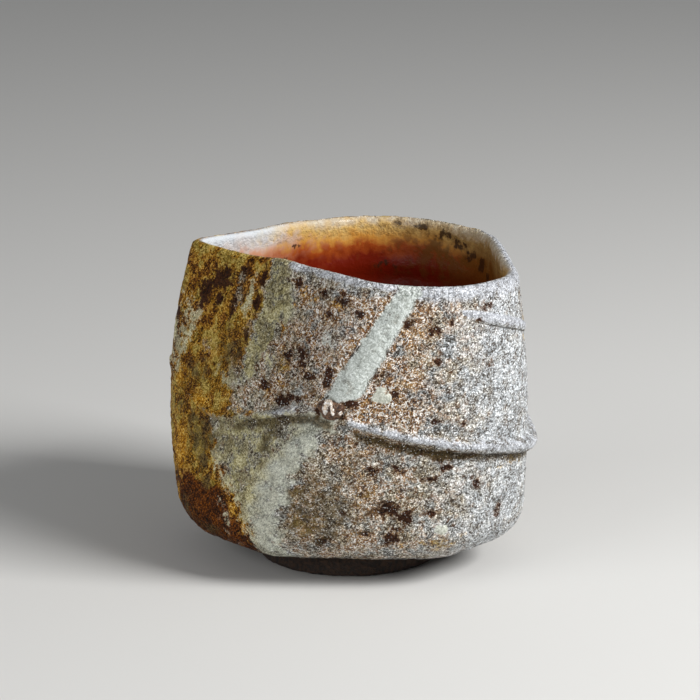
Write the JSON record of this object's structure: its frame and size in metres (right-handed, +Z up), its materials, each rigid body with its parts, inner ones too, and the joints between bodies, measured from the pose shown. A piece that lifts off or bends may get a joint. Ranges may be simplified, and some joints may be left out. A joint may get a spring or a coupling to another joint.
{
  "type": "guinomi sake cup",
  "caption": "Small hand-formed wood-fired sake cup with paddled faces, a slanted waist ridge, a glazed bowl and a low foot ring.",
  "frame": {"origin": "centre of the foot ring, on the surface that the cup stands on", "axes": "+Z up along the foot ring's axis, -Y to the front with the pale ash band, +X to the right"},
  "size_m": [0.0682, 0.0666, 0.0584],
  "materials": {
    "ash_crust": "rough natural ash crust",
    "bare_clay": "matt unglazed",
    "red_glaze": "gloss",
    "pale_ash": "satin fine grain",
    "feldspar": "glassy"
  },
  "bodies": {
    "root": {"base": "ash_crust", "wall": "ash_crust", "foot_ring": "bare_clay", "waist_ridge": "ash_crust", "shoulder_ridge": "ash_crust", "inner_glaze": "red_glaze", "ash_band": "pale_ash", "feldspar_stones": "feldspar"}
  },
  "joints": []
}
